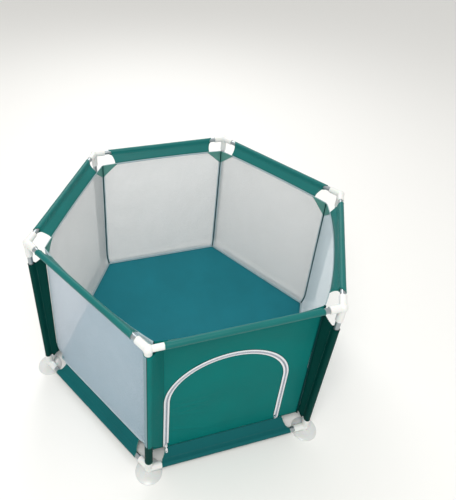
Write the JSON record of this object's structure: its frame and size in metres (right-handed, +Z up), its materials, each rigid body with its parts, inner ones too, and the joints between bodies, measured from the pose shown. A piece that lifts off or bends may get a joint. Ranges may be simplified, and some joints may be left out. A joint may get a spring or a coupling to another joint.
{
  "type": "playpen",
  "caption": "Hexagonal knock-down playpen: tube frame with corner connectors and suction feet, and a hung fabric bag with mesh walls, floor mat and a zipped arched door flap.",
  "frame": {"origin": "on the ground, under the middle of the hexagon (bottom centre of the whole object's box)", "axes": "+Z up; the door wall faces -Y; +X to the right when facing the door, through two opposite corners"},
  "size_m": [1.295, 1.1342, 0.694],
  "materials": {
    "frame_tube": "glossy light grey steel tube",
    "white_plastic": "smooth white injection moulding",
    "foot_plastic": "soft white suction cup, satin",
    "green_cloth": "coated plain-weave cloth, deep teal green, slight sheen",
    "floor_cloth": "padded coated cloth floor, teal",
    "mesh": "fine pale grey polyester mesh, see-through",
    "gusset_cloth": "thin translucent pale green cloth",
    "zip_tape": "white woven tape with a grey nylon coil",
    "zip_metal": "pale cast metal"
  },
  "bodies": {
    "root": {"bottom_connector_back_left": "white_plastic", "bottom_connector_back_right": "white_plastic", "bottom_connector_front_left": "white_plastic", "bottom_connector_front_right": "white_plastic", "bottom_connector_left": "white_plastic", "bottom_connector_right": "white_plastic", "bottom_rail_tube_back": "frame_tube", "bottom_rail_tube_back_left": "frame_tube", "bottom_rail_tube_back_right": "frame_tube", "bottom_rail_tube_front": "frame_tube", "bottom_rail_tube_front_left": "frame_tube", "bottom_rail_tube_front_right": "frame_tube", "bottom_sleeves": "green_cloth", "corner_gussets": "gusset_cloth", "floor_mat": "floor_cloth", "front_panel": "green_cloth", "mesh_wall_back": "mesh", "mesh_wall_back_left": "mesh", "mesh_wall_back_right": "mesh", "mesh_wall_front_left": "mesh", "mesh_wall_front_right": "mesh", "post_sleeves": "green_cloth", "post_tube_back_left": "frame_tube", "post_tube_back_right": "frame_tube", "post_tube_front_left": "frame_tube", "post_tube_front_right": "frame_tube", "post_tube_left": "frame_tube", "post_tube_right": "frame_tube", "suction_foot_back_left": "foot_plastic", "suction_foot_back_right": "foot_plastic", "suction_foot_front_left": "foot_plastic", "suction_foot_front_right": "foot_plastic", "suction_foot_left": "foot_plastic", "suction_foot_right": "foot_plastic", "top_connector_back_left": "white_plastic", "top_connector_back_right": "white_plastic", "top_connector_front_left": "white_plastic", "top_connector_front_right": "white_plastic", "top_connector_left": "white_plastic", "top_connector_right": "white_plastic", "top_rail_tube_back": "frame_tube", "top_rail_tube_back_left": "frame_tube", "top_rail_tube_back_right": "frame_tube", "top_rail_tube_front": "frame_tube", "top_rail_tube_front_left": "frame_tube", "top_rail_tube_front_right": "frame_tube", "top_sleeve_back": "green_cloth", "top_sleeve_back_left": "green_cloth", "top_sleeve_back_right": "green_cloth", "top_sleeve_front": "green_cloth", "top_sleeve_front_left": "green_cloth", "top_sleeve_front_right": "green_cloth", "zip_end_stops": "zip_metal", "zip_tape_panel": "zip_tape"},
    "door": {"door_flap": "green_cloth", "zip_tape_door": "zip_tape"},
    "slider": {"zip_slider": "zip_metal"},
    "pull": {"pull_tab": "zip_metal"}
  },
  "joints": [
    {"name": "door_fold", "type": "hinge", "parent": "root", "child": "door", "pos_m": [0, -0.48341, 0.08203], "axis": [1, 0, 0], "range_deg": [0, 100]},
    {"name": "zip_travel", "type": "slide", "parent": "root", "child": "slider", "axis": [0, 0.0149, 0.9999], "range_m": [0, 0.23]},
    {"name": "pull_swing", "type": "hinge", "parent": "slider", "child": "pull", "pos_m": [-0.23, -0.48757, 0.07159], "axis": [-1, 0, 0], "range_deg": [0, 60]}
  ]
}
